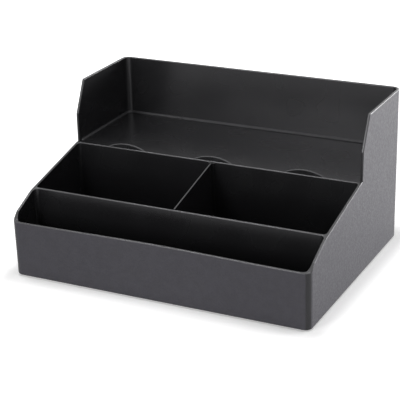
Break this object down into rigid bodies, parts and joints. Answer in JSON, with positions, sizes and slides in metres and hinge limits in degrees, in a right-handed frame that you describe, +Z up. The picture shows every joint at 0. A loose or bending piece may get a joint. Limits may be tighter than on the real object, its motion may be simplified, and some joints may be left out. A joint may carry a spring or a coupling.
{
  "type": "coffee station organizer",
  "caption": "Stepped countertop organizer tray: a low front compartment, a deep middle parted by a lift-out divider, and a raised rear shelf between tall side wings.",
  "frame": {"origin": "middle of the footprint, on the surface that the feet stand on", "axes": "+X to the right seen from the front, +Y from the low front to the shelf at the back, +Z up"},
  "size_m": [0.3052, 0.2316, 0.1552],
  "materials": {
    "tray_plastic": "moulded charcoal black plastic, fine texture outside and polished inside",
    "divider_plastic": "moulded charcoal black plastic, smooth",
    "foot_rubber": "matt black rubber"
  },
  "bodies": {
    "tray": {"tray_body": "tray_plastic", "foot_front_left": "foot_rubber", "foot_front_right": "foot_rubber", "foot_rear_left": "foot_rubber", "foot_rear_right": "foot_rubber"},
    "divider": {"center_divider": "divider_plastic"}
  },
  "joints": [
    {"name": "divider_lift", "type": "slide", "parent": "tray", "child": "divider", "axis": [0, 0, 1], "range_m": [0, 0.065]}
  ]
}
